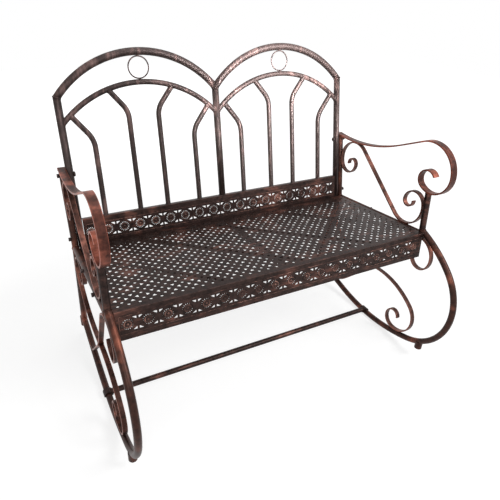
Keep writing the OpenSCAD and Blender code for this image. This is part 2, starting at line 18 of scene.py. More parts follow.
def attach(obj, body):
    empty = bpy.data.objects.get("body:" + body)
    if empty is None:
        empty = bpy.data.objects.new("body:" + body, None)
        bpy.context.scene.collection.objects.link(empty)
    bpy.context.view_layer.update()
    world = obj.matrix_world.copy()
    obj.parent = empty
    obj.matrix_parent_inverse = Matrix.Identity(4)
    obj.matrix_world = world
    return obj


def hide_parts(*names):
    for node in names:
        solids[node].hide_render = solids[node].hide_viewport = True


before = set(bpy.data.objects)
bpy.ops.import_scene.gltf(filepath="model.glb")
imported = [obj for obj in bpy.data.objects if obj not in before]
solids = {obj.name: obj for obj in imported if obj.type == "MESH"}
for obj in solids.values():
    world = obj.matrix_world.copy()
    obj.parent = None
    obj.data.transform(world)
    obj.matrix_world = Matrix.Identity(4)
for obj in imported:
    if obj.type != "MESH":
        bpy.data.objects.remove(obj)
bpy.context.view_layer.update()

# %% [markdown]
# ## Sizes that the solids were drawn with
# New pieces have to sit exactly on the solids, so the few sizes that place them are repeated here
# from the construction. The seat and the backrest are tilted planes. A matrix for each lets every
# sheet and trim be drawn flat and then laid on its plane.

# %% Planes of the seat and the backrest
MM = 0.001
# The seat's front edge lies this far in front of the bench's middle, and this high
MIDDLE = 187.043 * MM
SEAT_HIGH = 451.3 * MM
# The backrest rises from a line this far behind that edge
BACK_AT = 444.2 * MM
FALL = math.radians(5.04)
LEAN = math.radians(11.4)
PANEL_DEEP = 18 * MM
# The apron keeps the seat's sheet and a hair of air, in millimetres, behind and below the seat
CLEAR = 2.1

back_plane = Matrix.Translation((0, BACK_AT - MIDDLE, SEAT_HIGH)) @ Matrix.Rotation(-LEAN, 4, "X")
seat_plane = Matrix.Translation((0, -MIDDLE, SEAT_HIGH)) @ Matrix.Rotation(-FALL, 4, "X")
# A strip is drawn with X along the bench, Y up and Z out of the sheet, so it is stood up first
stand_up = Matrix.Rotation(math.radians(90), 4, "X")
panel_face = back_plane @ Matrix.Translation((0, -PANEL_DEEP / 2, 0)) @ stand_up
apron_face = seat_plane @ Matrix.Translation((0, CLEAR * MM, 0)) @ stand_up
print("the backrest leans", round(math.degrees(LEAN), 1), "degrees")
print("the seat falls", round(math.degrees(FALL), 2), "degrees")

# %% [markdown]
# ## One helper for every node
# Shader trees and geometry trees are both made of nodes with settings and links. One function adds
# a node, sets its properties, and fills its inputs. A plain value is set on the socket. A socket of
# another node is linked to it, a node stands for its first output, and a list makes several links.
# A colour is written as sRGB hex, as a paint maker would, and turned into the linear numbers that
# the shader needs.

# %% Node helper and colours
def add(tree, kind, inputs=None, **settings):
    made = tree.nodes.new(kind)
    for name, value in settings.items():
        setattr(made, name, value)
    for key, value in (inputs or {}).items():
        for source in value if isinstance(value, list) else [value]:
            if isinstance(source, bpy.types.Node):
                source = source.outputs[0]
            if isinstance(source, bpy.types.NodeSocket):
                tree.links.new(source, made.inputs[key])
            else:
                made.inputs[key].default_value = source
    return made


def linear(text):
    parts = [int(text[i:i + 2], 16) / 255 for i in (1, 3, 5)]
    return tuple(c / 12.92 if c <= 0.04045 else ((c + 0.055) / 1.055) ** 2.4 for c in parts) + (1.0,)


print("mid brown", [round(c, 3) for c in linear("#4a2f28")])

# %% [markdown]
# ## The finish of the steel
# Such furniture is powder coated near-black brown and baked. A copper wash is then wiped and brushed
# over it by hand, so it stays in soft patches a hand wide and in streaks from the brush. The copper on
# the edges of the flat bars is partly wash rubbed there and partly a painted highlight, which makes
# those edges bright. The eye sees a satin brown that turns to copper where light falls along it.
#
# The colour could be painted on as an image. Noise in object coordinates does it without a seam, at a
# known scale in millimetres, and follows any piece. A soft step turns the sum of a patch noise and a
# streak noise into cover. On the sheets the streaks run along the bench, and on the back they run up
# and down. The tubes and bars of the side frames turn every way, so theirs are as wide as long. The
# skin of baked powder is slightly dimpled like orange peel, which a low bump gives. Real dimples are
# smaller than a pixel here, so they are drawn as coarse as can just be seen.

# %% Sizes of the pattern, and the copper edges of a flat bar, worn and with a painted highlight
PATCH, CLOUD, DIMPLE = 95, 14, 2.4
DIMPLE_DEEP = 0.25 * MM
# How far in from a bar's edge its copper reaches, which is partly wear and partly a painted highlight
EDGE_COPPER_WIDE = 1.6
# The sum of the two noises turns to copper between the first two values, and a larger share of
# copper lowers both by a part of the third. The gloss varies by this much below and above its middle
COPPER_FROM, COPPER_FULL, LOWERED = 1.12, 1.5, 0.35
SMOOTHER, ROUGHER = 0.08, 0.1


def per(millimetres):
    return 1000 / millimetres


def copper_edges_worn_and_highlit(tree, place, clouds, plane_at, half_wide):
    """Copper near both edges of bars whose centre plane is this far from the bench's middle, in mm: partly
    wear, partly a painted highlight.
    """
    along = add(tree, "ShaderNodeSeparateXYZ", {0: place}).outputs["X"]
    side = add(tree, "ShaderNodeMath", {0: along}, operation="ABSOLUTE")
    off = add(tree, "ShaderNodeMath", {0: side, 1: plane_at * MM}, operation="SUBTRACT")
    out = add(tree, "ShaderNodeMath", {0: off}, operation="ABSOLUTE")
    rim = add(tree, "ShaderNodeMapRange", {
        "Value": out, "From Min": (half_wide - EDGE_COPPER_WIDE) * MM, "From Max": half_wide * MM})
    return add(tree, "ShaderNodeMath", {0: rim, 1: clouds}, operation="MULTIPLY")


print("a patch is", PATCH, "mm wide, a cloud", CLOUD, "mm, a dimple", DIMPLE, "mm")


# %% Brushed copper over baked brown powder coat
def brushed_paint(name, dark, brown, copper, share, brush, edge=None, metallic=0.7, rough=0.42):
    """share: how much copper there is, 0 to 1. brush: millimetres of a streak along X, Y and Z.
    edge: distance of a bar's centre plane from the middle of the bench and half its width, in mm."""
    mat = bpy.data.materials.new(name)
    mat.use_nodes = True
    tree = mat.node_tree
    tree.nodes.clear()
    place = add(tree, "ShaderNodeTexCoord").outputs["Object"]
    patches = add(tree, "ShaderNodeTexNoise", {
        "Vector": place, "Scale": per(PATCH), "Detail": 3.0, "Roughness": 0.55})
    squeezed = add(tree, "ShaderNodeMapping", {"Vector": place, "Scale": tuple(map(per, brush))})
    streaks = add(tree, "ShaderNodeTexNoise", {
        "Vector": squeezed, "Scale": 1.0, "Detail": 4.0, "Roughness": 0.6})
    clouds = add(tree, "ShaderNodeTexNoise", {
        "Vector": place, "Scale": per(CLOUD), "Detail": 5.0, "Roughness": 0.65})
    # Patches and streaks are near 0.5 on average, so their sum passes the step where both are high
    both = add(tree, "ShaderNodeMath", {0: patches, 1: streaks}, operation="ADD")
    cover = add(tree, "ShaderNodeMapRange", {
        "Value": both, "From Min": COPPER_FROM - LOWERED * share,
        "From Max": COPPER_FULL - LOWERED * share}, interpolation_type="SMOOTHSTEP")
    # Copper on a bar's edges is partly rubbed wear and partly a painted highlight
    if edge:
        worn_and_highlit_edges = copper_edges_worn_and_highlit(tree, place, clouds, *edge)
        cover = add(tree, "ShaderNodeMath", {0: cover, 1: worn_and_highlit_edges}, operation="ADD", use_clamp=True)
    # A colour mix has its two colours at sockets 6 and 7, and its result at output 2
    cloudy = add(tree, "ShaderNodeMapRange", {"Value": clouds, "From Min": 0.3, "From Max": 0.7})
    ground = add(tree, "ShaderNodeMix", {0: cloudy, 6: linear(dark), 7: linear(brown)},
                 data_type="RGBA").outputs[2]
    coat = add(tree, "ShaderNodeMix", {0: cover, 6: ground, 7: linear(copper)},
               data_type="RGBA").outputs[2]
    gloss = add(tree, "ShaderNodeMapRange", {
        "Value": clouds, "To Min": rough - SMOOTHER, "To Max": rough + ROUGHER})
    peel = add(tree, "ShaderNodeTexNoise", {"Vector": place, "Scale": per(DIMPLE), "Detail": 2.0})
    bump = add(tree, "ShaderNodeBump", {"Height": peel, "Strength": 0.06, "Distance": DIMPLE_DEEP})
    skin = add(tree, "ShaderNodeBsdfPrincipled", {
        "Base Color": coat, "Metallic": metallic, "Roughness": gloss, "Normal": bump})
    add(tree, "ShaderNodeOutputMaterial", {0: skin})
    return mat


# %% [markdown]
# The same coat looks redder on the side frames, greyer on the back and darker on the sheets, as more
# or less of the wash was wiped off. The darker finish of the sheets is also laid on the arm posts and
# the stretcher as painted shade. The raised trim is rubbed most, and its lighter copper is also a
# painted highlight on its ridges and domes. Each has its own three colours, from the dark and the
# brown of the ground to the copper.

# %% The six finishes
tube_paint = brushed_paint("copper_brushed_powder_coat_on_tube", "#21110c", "#45281f", "#854d3c",
                           share=0.38, brush=(60, 60, 60))
bar_paint = brushed_paint("copper_brushed_powder_coat_on_bar", "#21110c", "#4e2f26", "#9c6455",
                          share=0.42, brush=(50, 50, 50), edge=(512, 7))
arm_paint = brushed_paint("copper_brushed_powder_coat_on_armrest", "#230f0a", "#552d23", "#a8604d",
                          share=0.42, brush=(50, 50, 50), edge=(510, 11))
back_paint = brushed_paint("copper_brushed_powder_coat_on_back", "#251b19", "#392d2b", "#6c5551",
                           share=0.35, brush=(12, 60, 60), metallic=0.6, rough=0.5)
# The sheets' own darker coat, which is also laid on the arm posts and the stretcher as painted shade
sheet_and_shade_paint = brushed_paint("copper_brushed_powder_coat_on_sheet_and_as_painted_shade", "#170f0d", "#3d2c28", "#6c473d",
                            share=0.35, brush=(60, 12, 12), metallic=0.78)
# The trim's lighter copper is partly rubbed wear and partly a painted highlight on the ridges and domes
rubbed_and_highlit_trim_paint = brushed_paint("copper_rubbed_and_painted_highlight_on_raised_trim", "#241714", "#4e3831",
                             "#906a5f", share=0.6, brush=(12, 12, 12), metallic=0.8)
for coat in (tube_paint, bar_paint, arm_paint, back_paint, sheet_and_shade_paint, rubbed_and_highlit_trim_paint):
    print(coat.name, "has", len(coat.node_tree.nodes), "nodes")

# %% Give every solid its finish
solids_in = {
    tube_paint: ("rocker", "rear_leg", "seat_side_rail", "front_stop", "rear_stop"),
    bar_paint: ("side_scroll", "long_scroll", "bow_scroll", "tail_brace"),
    arm_paint: ("armrest",),
    back_paint: ("back_post", "top_arch", "inner_arch", "arch_ring", "slat", "back_bolts", "seat_bolts"),
    # The arm posts and the stretcher with its saddles take the darker sheet finish as painted shade, for
    # the shade that falls on them under the seat and the arms
    sheet_and_shade_paint: ("arm_post", "stretcher", "back_panel", "seat_sheet", "front_apron",
                  "seat_front_rail", "seat_rear_rail", "seat_centre_rib", "seat_straps"),
}
for paint, starts in solids_in.items():
    painted = [name for name in solids if name.startswith(starts)]
    for name in painted:
        solids[name].data.materials.clear()
        solids[name].data.materials.append(paint)
    print(len(painted), "solids in", paint.name)

# %% [markdown]
# ## Growing a piece from a geometry tree
# What repeats along a line or follows a path is made by Geometry Nodes. A tree has named inputs for
# its sizes, so one tree can make several pieces. The function below gives the tree an empty mesh, an
# outline or a path to start from, and sets its inputs by each socket's identifier. It takes the
# evaluated mesh as a plain one and lays it in place, so the finished piece sits at the origin with no
# modifier left.

# %% Tree and piece helpers
SOCKET = {int: "NodeSocketInt", float: "NodeSocketFloat", bpy.types.Material: "NodeSocketMaterial"}
SHARP = math.radians(60)


def new_tree(name, sizes):
    tree = bpy.data.node_groups.new(name, "GeometryNodeTree")
    tree.interface.new_socket("Geometry", in_out="INPUT", socket_type="NodeSocketGeometry")
    tree.interface.new_socket("Geometry", in_out="OUTPUT", socket_type="NodeSocketGeometry")
    for label, kind in sizes.items():
        tree.interface.new_socket(label, in_out="INPUT", socket_type=SOCKET[kind])
    return tree, add(tree, "NodeGroupInput").outputs


def close_tree(tree, shape, paint):
    whole = add(tree, "GeometryNodeRealizeInstances", {"Geometry": shape})
    soft = add(tree, "GeometryNodeSetShadeSmooth", {"Geometry": whole})
    done = add(tree, "GeometryNodeSetMaterial", {"Geometry": soft, "Material": paint})
    add(tree, "NodeGroupOutput", {"Geometry": done})
    print(tree.name, "has", len(tree.nodes), "nodes")


def grow(name, tree, sizes, place=Matrix(), start=None, folds=()):
    piece = bpy.data.objects.new(name, start or bpy.data.meshes.new(name))
    bpy.context.scene.collection.objects.link(piece)
    growth = piece.modifiers.new("growth", "NODES")
    growth.node_group = tree
    for item in tree.interface.items_tree:
        if item.in_out == "INPUT" and item.name in sizes:
            growth[item.identifier] = sizes[item.name]
    seen = piece.evaluated_get(bpy.context.evaluated_depsgraph_get())
    mesh = bpy.data.meshes.new_from_object(seen)
    if folds:
        add_folds(mesh, folds)
    mesh.set_sharp_from_angle(angle=SHARP)
    mesh.transform(place)
    mesh.name = name
    piece.modifiers.clear()
    piece.data = mesh
    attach(piece, "root")
    print(name, len(mesh.polygons), "faces")
    return piece


print("edges above", round(math.degrees(SHARP)), "degrees stay crisp")

# %% [markdown]
# ## The three pierced sheets
# A press punches the seat, the apron and the back panel, and a brake then bends their edges down. The
# solids have the same sheets with plainer holes and square bends, so each sheet is drawn again here
# and stands for its solid. The work goes as in the shop. An outline and the outlines of all holes lie
# flat in one plane. Filling them leaves each hole open, because it is an outline inside an outline.
# The filled face is pushed back by the sheet's thickness, and the bent edges are added last.
#
# A boolean cut for each of a thousand holes would also work, but takes minutes and leaves thin
# slivers. Filling curves takes a moment and gives clean walls.

# %% Outline and bent edges of a sheet
THICK = 2
SHEET = THICK * MM
BEND_STEPS = 5


def outline(points):
    """A closed loop of edges from half an outline: the other half is its mirror image in X."""
    half = [(x * MM, y * MM, 0) for x, y in points]
    loop = half + [(-x, y, 0) for x, y, z in reversed(half)]
    mesh = bpy.data.meshes.new("outline")
    mesh.from_pydata(loop, [(i, (i + 1) % len(loop)) for i in range(len(loop))], [])
    return mesh


def add_folds(mesh, folds):
    """Each fold is a start, a length, the way out of the sheet and the depth of its leg, in mm."""
    joined = bmesh.new()
    joined.from_mesh(mesh)
    joined.faces.ensure_lookup_table()
    paint = joined.faces[0].material_index
    bend = [(math.sin(a), math.cos(a) - 1) for a in np.linspace(0, math.pi / 2, BEND_STEPS + 1)]
    made = []
    for start, length, out, deep in folds:
        section = [(u * SHEET, w * SHEET) for u, w in bend] + [(SHEET, -deep * MM), (0, -deep * MM)]
        near_end = [Vector(start) * MM + Vector(out) * u + Vector((0, 0, w)) for u, w in section]
        near = [joined.verts.new(p) for p in near_end]
        far = [joined.verts.new(p + Vector(length) * MM) for p in near_end]
        made += [joined.faces.new(near), joined.faces.new(far)]
        for i in range(len(section)):
            made.append(joined.faces.new((near[i - 1], near[i], far[i], far[i - 1])))
    bmesh.ops.recalc_face_normals(joined, faces=made)
    for face in made:
        face.smooth = True
        face.material_index = paint
    joined.to_mesh(mesh)
    joined.free()


print("a bend has", BEND_STEPS, "faces")

# %% Outlines and folds of the seat, the panel and the apron, in millimetres
SEAT_HALF, SEAT_LONG = 499.7, 428.75
NOTCH_AT, NOTCH_DEEP = 477.6, 6
FOLD_FROM, FOLD_DEEP, LIP_DEEP = 24, 18, 12
PANEL_HALF, PANEL_LOW, PANEL_HIGH = 477.7, -48, 38
APRON_LOW = -84
inside = SEAT_HALF - THICK
rear = SEAT_LONG - NOTCH_DEEP
seat_outline = outline([(SEAT_HALF, THICK), (SEAT_HALF, FOLD_FROM), (inside, FOLD_FROM), (inside, rear),
                        (NOTCH_AT, rear), (NOTCH_AT, SEAT_LONG)])
panel_outline = outline([(PANEL_HALF, PANEL_LOW + THICK), (PANEL_HALF, PANEL_HIGH - THICK)])
apron_outline = outline([(inside, APRON_LOW), (inside, -CLEAR)])

seat_folds = [((-SEAT_HALF, THICK, 0), (2 * SEAT_HALF, 0, 0), (0, -1, 0), LIP_DEEP)]
apron_folds = []
for side in (-1, 1):
    seat_folds.append(((side * inside, FOLD_FROM, 0), (0, rear - FOLD_FROM, 0), (side, 0, 0), FOLD_DEEP))
    apron_folds.append(((side * inside, APRON_LOW, 0), (0, -CLEAR - APRON_LOW, 0), (side, 0, 0), FOLD_DEEP))
panel_folds = []
for edge, out in ((PANEL_HIGH - THICK, 1), (PANEL_LOW + THICK, -1)):
    panel_folds.append(((-PANEL_HALF, edge, 0), (2 * PANEL_HALF, 0, 0), (0, out, 0), FOLD_DEEP))
print("seat", round(2 * SEAT_HALF), "mm wide")
print(len(seat_folds) + len(panel_folds) + len(apron_folds), "bent edges")

# %% [markdown]
# The seat's pattern is a flower of four three-cornered holes with their tips inwards. Round holes
# fill the spaces between the flowers. Every kind of hole is one small closed curve on a grid of
# points, and the eight grids differ only by a share of the flowers' spacing. The points that lie too
# near an edge of the seat are left out, as in a pattern that is cut off by a die of fixed width.

# %% Punching a sheet
MERGED = 0.002 * MM


def punched(tree, holes, flat_outline):
    """Fill the outline around its holes and push the face back by the sheet's thickness."""
    loop = add(tree, "GeometryNodeMeshToCurve", {"Mesh": flat_outline})
    rings = add(tree, "GeometryNodeJoinGeometry", {0: [loop] + holes})
    curves = add(tree, "GeometryNodeRealizeInstances", {"Geometry": rings})
    face = add(tree, "GeometryNodeFillCurve", {"Curve": curves}, mode="TRIANGLES")
    down = add(tree, "ShaderNodeCombineXYZ", {2: -SHEET})
    back = add(tree, "GeometryNodeExtrudeMesh", {"Mesh": face, "Offset": down, "Individual": False})
    turned = add(tree, "GeometryNodeFlipFaces", {"Mesh": back})
    both = add(tree, "GeometryNodeJoinGeometry", {0: [face, turned]})
    return add(tree, "GeometryNodeMergeByDistance", {"Geometry": both, "Distance": MERGED})


print("points nearer than", MERGED / MM, "mm are merged")

# %% The grid of flowers
flower_tree, size_of = new_tree("flower_pattern_sheet", {
    "Columns": int, "Rows": int, "Step": float, "Rise": float, "Middle": float, "First": float,
    "Petal Wide": float, "Petal Deep": float, "Dot": float, "Half Width": float, "Front": float,
    "Back": float, "Paint": bpy.types.Material})
step, rise = size_of["Step"], size_of["Rise"]
steps = add(flower_tree, "ShaderNodeMath", {0: size_of["Columns"], 1: 1.0}, operation="SUBTRACT")
rises = add(flower_tree, "ShaderNodeMath", {0: size_of["Rows"], 1: 1.0}, operation="SUBTRACT")
across = add(flower_tree, "ShaderNodeMath", {0: steps, 1: step}, operation="MULTIPLY")
along = add(flower_tree, "ShaderNodeMath", {0: rises, 1: rise}, operation="MULTIPLY")
grid = add(flower_tree, "GeometryNodeMeshGrid", {
    "Size X": across, "Size Y": along, "Vertices X": size_of["Columns"], "Vertices Y": size_of["Rows"]})
half_way = add(flower_tree, "ShaderNodeMath", {
    0: along, 1: 0.5, 2: size_of["First"]}, operation="MULTIPLY_ADD")
centre = add(flower_tree, "ShaderNodeCombineXYZ", {0: size_of["Middle"], 1: half_way})
flowers = add(flower_tree, "GeometryNodeTransform", {"Geometry": grid, "Translation": centre})
print("inputs:", ", ".join(socket.name for socket in size_of if socket.name))

# %% The field that holds the pattern
here = add(flower_tree, "ShaderNodeSeparateXYZ", {0: add(flower_tree, "GeometryNodeInputPosition")})
from_middle = add(flower_tree, "ShaderNodeMath", {0: here.outputs["X"]}, operation="ABSOLUTE")
tests = ((from_middle, "LESS_THAN", "Half Width"), (here.outputs["Y"], "GREATER_THAN", "Front"),
         (here.outputs["Y"], "LESS_THAN", "Back"))
in_field = 1.0
for place, operation, limit in tests:
    passes = add(flower_tree, "ShaderNodeMath", {0: place, 1: size_of[limit]}, operation=operation)
    in_field = add(flower_tree, "ShaderNodeMath", {0: in_field, 1: passes}, operation="MULTIPLY")
print(len(tests), "tests keep a hole inside the field")

# %% Holes of the flower pattern
PETAL_ROUND = 1.3 * MM
# A circle of three points is a triangle with its tip on plus X: it is stretched and turned tip down
three_points = add(flower_tree, "GeometryNodeCurvePrimitiveCircle", {"Resolution": 3, "Radius": 1.0})
deep = add(flower_tree, "ShaderNodeMath", {0: size_of["Petal Deep"], 1: 1.5}, operation="DIVIDE")
wide = add(flower_tree, "ShaderNodeMath", {0: size_of["Petal Wide"], 1: math.sqrt(3)}, operation="DIVIDE")
stretch = add(flower_tree, "ShaderNodeCombineXYZ", {0: deep, 1: wide, 2: 1.0})
tip_down = add(flower_tree, "GeometryNodeTransform", {
    "Geometry": three_points, "Rotation": (0, 0, -math.pi / 2), "Scale": stretch})
petal = add(flower_tree, "GeometryNodeFilletCurve", {
    "Curve": tip_down, "Count": 2, "Radius": PETAL_ROUND}, mode="POLY")
dot_radius = add(flower_tree, "ShaderNodeMath", {0: size_of["Dot"], 1: 0.5}, operation="MULTIPLY")
dot = add(flower_tree, "GeometryNodeCurvePrimitiveCircle", {"Resolution": 10, "Radius": dot_radius})


def hole_grid(x, y, unit, turn, shape):
    """One kind of hole, moved from each flower's centre by x steps and by y times the unit."""
    right = add(flower_tree, "ShaderNodeMath", {0: step, 1: x}, operation="MULTIPLY")
    up = add(flower_tree, "ShaderNodeMath", {0: unit, 1: y}, operation="MULTIPLY")
    shift = add(flower_tree, "ShaderNodeCombineXYZ", {0: right, 1: up})
    moved = add(flower_tree, "GeometryNodeTransform", {"Geometry": flowers, "Translation": shift})
    return add(flower_tree, "GeometryNodeInstanceOnPoints", {
        "Points": moved, "Selection": in_field, "Instance": shape, "Rotation": (0, 0, turn)})


holes = [hole_grid(x / 4, y / 4, step, math.atan2(-x, y), petal)
         for x, y in ((0, 1), (-1, 0), (0, -1), (1, 0))]
holes += [hole_grid(x, y, rise, 0.0, dot)
          for x, y in ((-1 / 4, 1 / 2), (1 / 4, 1 / 2), (1 / 2, -1 / 4), (1 / 2, 1 / 4))]
close_tree(flower_tree, punched(flower_tree, holes, size_of["Geometry"]), size_of["Paint"])

# %% The seat
seat_piece = grow("seat_of_pierced_sheet", flower_tree, {
    "Columns": 19, "Rows": 8, "Step": 55.9 * MM, "Rise": 54.2 * MM, "Middle": 5.5 * MM,
    "First": -1.7 * MM, "Petal Wide": 15.5 * MM, "Petal Deep": 11.5 * MM, "Dot": 8.2 * MM,
    "Half Width": 485 * MM, "Front": 15 * MM, "Back": 413 * MM, "Paint": sheet_and_shade_paint},
    seat_plane, seat_outline, folds=seat_folds)
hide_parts("seat_sheet")

# %% [markdown]
# The two strips share a pattern: a ring of sixteen narrow slits, and between the rings four
# three-cornered holes with their square corner outwards, so their long side follows the ring. The
# slits are set on a circle of points, and that ring is then set on a line of points.

# %% Rosettes of the strips
SLIT_ROUND = 0.7 * MM
rosette_tree, size_of = new_tree("rosette_strip_sheet", {
    "Rosettes": int, "Webs": int, "First": float, "Pitch": float, "Row": float, "Slits": int,
    "Ring Radius": float, "Slit Long": float, "Slit Wide": float, "Web Half": float,
    "Corner Out": float, "Corner Wide": float, "Corner High": float, "Paint": bpy.types.Material})
slit = add(rosette_tree, "GeometryNodeCurvePrimitiveQuadrilateral", {
    "Width": size_of["Slit Long"], "Height": size_of["Slit Wide"]})
soft_slit = add(rosette_tree, "GeometryNodeFilletCurve", {
    "Curve": slit, "Count": 2, "Radius": SLIT_ROUND}, mode="POLY")
ring = add(rosette_tree, "GeometryNodeMeshCircle", {
    "Vertices": size_of["Slits"], "Radius": size_of["Ring Radius"]})
outwards = add(rosette_tree, "FunctionNodeAlignRotationToVector", {
    "Vector": add(rosette_tree, "GeometryNodeInputPosition")}, axis="X")
rosette = add(rosette_tree, "GeometryNodeInstanceOnPoints", {
    "Points": ring, "Instance": soft_slit, "Rotation": outwards})
step = add(rosette_tree, "ShaderNodeCombineXYZ", {0: size_of["Pitch"]})
first_ring = add(rosette_tree, "ShaderNodeCombineXYZ", {0: size_of["First"], 1: size_of["Row"]})
ring_line = add(rosette_tree, "GeometryNodeMeshLine", {
    "Count": size_of["Rosettes"], "Offset": step, "Start Location": first_ring})
rosettes = add(rosette_tree, "GeometryNodeInstanceOnPoints", {"Points": ring_line, "Instance": rosette})
print("inputs:", ", ".join(socket.name for socket in size_of if socket.name))

# %% Corner holes between the rosettes
BLUNT = 1.4 * MM
edge_in, edge_top = size_of["Web Half"], size_of["Corner Out"]
edge_out = add(rosette_tree, "ShaderNodeMath", {0: edge_in, 1: size_of["Corner Wide"]}, operation="ADD")
edge_low = add(rosette_tree, "ShaderNodeMath", {
    0: edge_top, 1: size_of["Corner High"]}, operation="SUBTRACT")
blunt_tip = add(rosette_tree, "ShaderNodeMath", {0: edge_in, 1: BLUNT}, operation="ADD")
corner_points = {
    f"Point {n}": add(rosette_tree, "ShaderNodeCombineXYZ", {0: x, 1: y})
    for n, (x, y) in enumerate(((edge_in, edge_top), (edge_out, edge_top), (blunt_tip, edge_low),
                                (edge_in, edge_low)), 1)}
corner = add(rosette_tree, "GeometryNodeCurvePrimitiveQuadrilateral", corner_points, mode="POINTS")
corners = [add(rosette_tree, "GeometryNodeTransform", {"Geometry": corner, "Scale": (x, y, 1)})
           for x in (-1, 1) for y in (-1, 1)]
web = add(rosette_tree, "GeometryNodeJoinGeometry", {0: corners})
half_pitch = add(rosette_tree, "ShaderNodeMath", {
    0: size_of["Pitch"], 1: 0.5, 2: size_of["First"]}, operation="MULTIPLY_ADD")
first_web = add(rosette_tree, "ShaderNodeCombineXYZ", {0: half_pitch, 1: size_of["Row"]})
web_line = add(rosette_tree, "GeometryNodeMeshLine", {
    "Count": size_of["Webs"], "Offset": step, "Start Location": first_web})
webs = add(rosette_tree, "GeometryNodeInstanceOnPoints", {"Points": web_line, "Instance": web})
sheet = punched(rosette_tree, [rosettes, webs], size_of["Geometry"])
close_tree(rosette_tree, sheet, size_of["Paint"])

# %% The back panel and the apron
panel_row = {"Rosettes": 18, "First": -456.6 * MM, "Row": -6.5 * MM, "Pitch": 52 * MM}
apron_row = {"Rosettes": 19, "First": -469.5 * MM, "Row": -42 * MM, "Pitch": 52 * MM}
pattern = {"Webs": 18, "Slits": 16, "Ring Radius": 13.5 * MM, "Slit Long": 4.5 * MM,
           "Slit Wide": 1.5 * MM, "Web Half": 2.8 * MM, "Corner Out": 19 * MM,
           "Corner Wide": 12 * MM, "Corner High": 7.4 * MM, "Paint": sheet_and_shade_paint}
panel_piece = grow("panel_of_pierced_sheet", rosette_tree, pattern | panel_row,
                   panel_face, panel_outline, folds=panel_folds)
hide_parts("back_panel")
apron_piece = grow("apron_of_pierced_sheet", rosette_tree, pattern | apron_row,
                   apron_face, apron_outline, folds=apron_folds)
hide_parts("front_apron")

# %% [markdown]
# ## The pressed trim of the strips
# The press that cuts the slits also raises a low ridge and a small dome inside each ring of slits,
# and draws a thin bead round the whole row. They are about 1 mm high: a ring with a flattened round
# section and a flattened ball, copied along a line of points at the pitch of the rosettes, and a
# rectangle with rounded corners swept with a round section, of which half stands proud of the sheet.

# %% Tree of the pressed trim
strip_tree, size_of = new_tree("pressed_strip", {
    "Rosettes": int, "First": float, "Pitch": float, "Row": float, "Ridge Radius": float,
    "Ridge Wire": float, "Dome Radius": float, "Flatness": float, "Bead Width": float,
    "Bead Height": float, "Bead Corner": float, "Bead Wire": float, "Paint": bpy.types.Material})
ridge = add(strip_tree, "GeometryNodeCurvePrimitiveCircle", {
    "Resolution": 28, "Radius": size_of["Ridge Radius"]})
wire = add(strip_tree, "GeometryNodeCurvePrimitiveCircle", {
    "Resolution": 8, "Radius": size_of["Ridge Wire"]})
swept = add(strip_tree, "GeometryNodeCurveToMesh", {"Curve": ridge, "Profile Curve": wire})
dome = add(strip_tree, "GeometryNodeMeshUVSphere", {
    "Segments": 16, "Rings": 8, "Radius": size_of["Dome Radius"]})
full = add(strip_tree, "GeometryNodeJoinGeometry", {0: [swept, dome]})
flatter = add(strip_tree, "ShaderNodeCombineXYZ", {0: 1.0, 1: 1.0, 2: size_of["Flatness"]})
flat = add(strip_tree, "GeometryNodeTransform", {"Geometry": full, "Scale": flatter})
step = add(strip_tree, "ShaderNodeCombineXYZ", {0: size_of["Pitch"]})
first = add(strip_tree, "ShaderNodeCombineXYZ", {0: size_of["First"], 1: size_of["Row"]})
row = add(strip_tree, "GeometryNodeMeshLine", {
    "Count": size_of["Rosettes"], "Offset": step, "Start Location": first})
rosettes = add(strip_tree, "GeometryNodeInstanceOnPoints", {"Points": row, "Instance": flat})
border = add(strip_tree, "GeometryNodeCurvePrimitiveQuadrilateral", {
    "Width": size_of["Bead Width"], "Height": size_of["Bead Height"]})
rounded = add(strip_tree, "GeometryNodeFilletCurve", {
    "Curve": border, "Radius": size_of["Bead Corner"], "Count": 4}, mode="POLY")
thin = add(strip_tree, "GeometryNodeCurvePrimitiveCircle", {
    "Resolution": 8, "Radius": size_of["Bead Wire"]})
bead = add(strip_tree, "GeometryNodeCurveToMesh", {"Curve": rounded, "Profile Curve": thin})
up_to_row = add(strip_tree, "ShaderNodeCombineXYZ", {1: size_of["Row"]})
placed = add(strip_tree, "GeometryNodeTransform", {"Geometry": bead, "Translation": up_to_row})
trim = add(strip_tree, "GeometryNodeJoinGeometry", {0: [placed, rosettes]})
close_tree(strip_tree, trim, size_of["Paint"])

# %% Trim of the back panel and of the apron
raised = {"Ridge Radius": 9.2 * MM, "Ridge Wire": 1.5 * MM, "Dome Radius": 3.4 * MM,
          "Flatness": 0.45, "Bead Height": 52 * MM, "Bead Corner": 4 * MM, "Bead Wire": 0.7 * MM,
          "Paint": rubbed_and_highlit_trim_paint}
grow("back_panel_trim", strip_tree, raised | panel_row | {"Bead Width": 940 * MM}, panel_face)
grow("front_apron_trim", strip_tree, raised | apron_row | {"Bead Width": 980 * MM}, apron_face)

# %% [markdown]
# ## The mitred tubes of the back
# Each top arch meets its outer post in a mitre: one plane through the corner cuts both tubes, halfway
# between their directions. The two arches meet over the middle post in the same way, and the middle
# post is coped to the undersides of both. In the solids these ends are cut at another angle and leave
# small openings, so the five tubes are drawn again. A tube is a row of rings of points. A ring that
# lies in a mitre is stretched across the bend, so that the tube keeps its width up to the corner.

# %% Tubes from rings of points
TUBE_R = 11 * MM
# Pieces that are welded keep a hair of air, so that each stays a solid of its own
GAP = 0.1 * MM
# Where an outer post and the middle of a bay lie, and the radius and centre of a top arch
POST_X, BAY_MID = 488.8 * MM, 244.4 * MM
ARCH_R, ARCH_LOW = 320 * MM, 186 * MM
